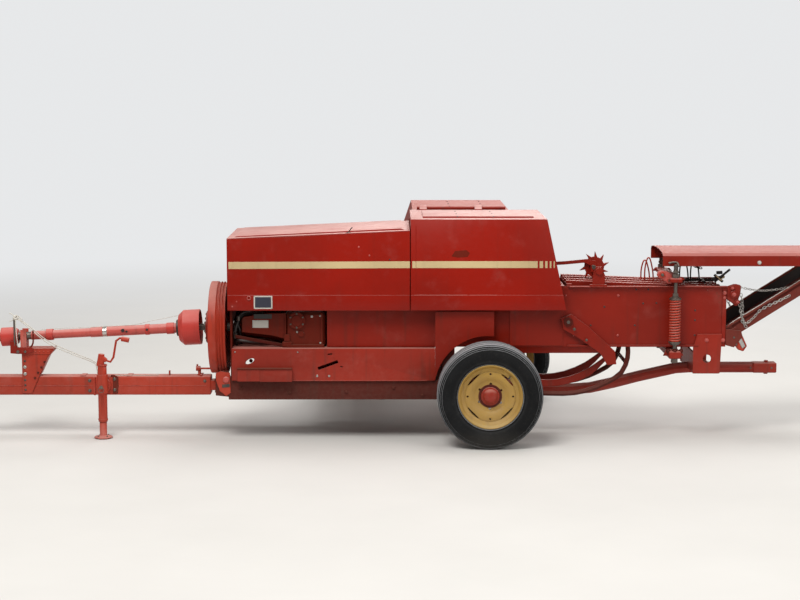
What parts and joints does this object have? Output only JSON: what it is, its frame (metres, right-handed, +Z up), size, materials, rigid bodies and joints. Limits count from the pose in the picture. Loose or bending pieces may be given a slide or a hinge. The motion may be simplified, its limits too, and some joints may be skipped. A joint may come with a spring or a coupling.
{
  "type": "square baler",
  "caption": "Towed square baler with offset pickup, side shields, flywheel and driveline, twine knotters, density springs and a folded bale chute, parked on its drawbar jack.",
  "frame": {"origin": "on the ground below the middle of the bounding box", "axes": "X runs to the rear of the baler, +Y to its right side with the pickup, Z up"},
  "size_m": [5.741, 2.572, 1.492],
  "materials": {
    "bare_steel": "worn",
    "dark_red_paint": "worn",
    "red_paint": "gloss worn",
    "tyre_rubber": "matte",
    "yellow_paint": "worn"
  },
  "bodies": {
    "frame": {"arch_panel": "red_paint", "bale_case": "red_paint", "case_stand_front": "dark_red_paint", "case_stand_rear": "dark_red_paint", "chute_bracket_left": "dark_red_paint", "chute_bracket_right": "dark_red_paint", "chute_lower": "red_paint", "feeder_housing": "red_paint", "feeder_tines": "bare_steel", "front_box": "red_paint", "front_bulkhead": "dark_red_paint", "gearbox": "red_paint", "input_shaft": "bare_steel", "knotter_left": "bare_steel", "knotter_right": "bare_steel", "knotter_shaft": "bare_steel", "main_frame": "dark_red_paint", "metering_arm": "red_paint", "needle_guard": "red_paint", "needle_pivot_left": "bare_steel", "needle_pivot_right": "bare_steel", "needle_yoke": "red_paint", "tension_bar_lower": "dark_red_paint", "tension_bar_upper": "dark_red_paint", "tension_rails": "red_paint", "tension_rod_left": "bare_steel", "tension_rod_right": "bare_steel", "tension_spring_left": "red_paint", "tension_spring_right": "red_paint", "trip_bracket": "dark_red_paint", "twine_box": "red_paint", "wagon_hitch": "red_paint", "windguard": "red_paint"},
    "tongue": {"tongue": "red_paint", "drive_stand": "red_paint"},
    "jack": {"jack_tube": "red_paint"},
    "jack_leg": {"jack_leg": "red_paint"},
    "driveline": {"driveline_shield": "red_paint", "driveline_bell_rear": "red_paint", "driveline_bell_front": "red_paint", "driveline_yoke": "bare_steel"},
    "flywheel": {"flywheel": "red_paint", "slip_clutch": "bare_steel"},
    "left_wheel": {"left_tyre": "tyre_rubber", "left_rim": "yellow_paint", "left_hub": "red_paint"},
    "right_wheel": {"right_tyre": "tyre_rubber", "right_rim": "yellow_paint", "right_hub": "red_paint"},
    "pickup": {"pickup_frame": "red_paint"},
    "reel": {"pickup_reel": "bare_steel"},
    "gauge_wheel": {"gauge_wheel": "tyre_rubber"},
    "left_shield": {"left_shield": "red_paint"},
    "twine_lid": {"twine_lid": "red_paint"},
    "knotter_hood": {"knotter_hood": "red_paint"},
    "chute_extension": {"chute_extension": "red_paint"},
    "star_wheel": {"star_wheel": "dark_red_paint"}
  },
  "joints": [
    {"name": "flywheel_spin", "type": "hinge", "parent": "frame", "child": "flywheel", "pos_m": [-1.24547, -0.7485, 0.725], "axis": [1, 0, 0], "continuous": true},
    {"name": "tongue_swing", "type": "hinge", "parent": "frame", "child": "tongue", "pos_m": [-1.18047, -0.7485, 0.34], "axis": [0, 0, 1], "range_deg": [-10, 10]},
    {"name": "jack_swing", "type": "hinge", "parent": "tongue", "child": "jack", "pos_m": [-1.96047, -0.8685, 0.345], "axis": [0, -1, 0], "range_deg": [0, 90]},
    {"name": "jack_slide", "type": "slide", "parent": "jack", "child": "jack_leg", "axis": [0, 0, 1], "range_m": [-0.2, 0.085]},
    {"name": "driveline_swing", "type": "hinge", "parent": "frame", "child": "driveline", "pos_m": [-1.35047, -0.7485, 0.725], "axis": [0, 0, 1], "range_deg": [-11.6, 11.6]},
    {"name": "left_wheel_spin", "type": "hinge", "parent": "frame", "child": "left_wheel", "pos_m": [0.57953, -1.1685, 0.343], "axis": [0, 1, 0], "continuous": true},
    {"name": "right_wheel_spin", "type": "hinge", "parent": "frame", "child": "right_wheel", "pos_m": [0.80553, 0.5515, 0.31], "axis": [0, 1, 0], "continuous": true},
    {"name": "pickup_lift", "type": "hinge", "parent": "frame", "child": "pickup", "pos_m": [-0.04047, 0.4415, 0.6], "axis": [0, 1, 0], "range_deg": [-18, 0]},
    {"name": "reel_spin", "type": "hinge", "parent": "pickup", "child": "reel", "pos_m": [-0.32047, 0.4415, 0.4], "axis": [0, 1, 0], "continuous": true},
    {"name": "gauge_wheel_spin", "type": "hinge", "parent": "pickup", "child": "gauge_wheel", "pos_m": [-0.42047, 1.2315, 0.32], "axis": [0, 1, 0], "continuous": true},
    {"name": "left_shield_open", "type": "hinge", "parent": "frame", "child": "left_shield", "pos_m": [-1.11747, -1.0085, 1.3325], "axis": [-0.999, 0, -0.0439], "range_deg": [0, 100]},
    {"name": "twine_lid_open", "type": "hinge", "parent": "frame", "child": "twine_lid", "pos_m": [-1.11747, -0.2225, 1.338], "axis": [-0.999, 0, -0.0439], "range_deg": [0, 90]},
    {"name": "knotter_hood_open", "type": "hinge", "parent": "frame", "child": "knotter_hood", "pos_m": [0.57953, -0.1665, 1.471], "axis": [-1, 0, 0], "range_deg": [0, 65]},
    {"name": "chute_unfold", "type": "hinge", "parent": "frame", "child": "chute_extension", "pos_m": [2.84759, -0.6685, 1.15998], "axis": [0, 1, 0], "range_deg": [0, 147]},
    {"name": "star_wheel_spin", "type": "hinge", "parent": "frame", "child": "star_wheel", "pos_m": [1.29653, -0.6685, 1.12], "axis": [0, 1, 0], "continuous": true}
  ],
  "couplings": [
    {"joint": "driveline_swing", "follows": "tongue_swing", "ratio": 1.16}
  ]
}
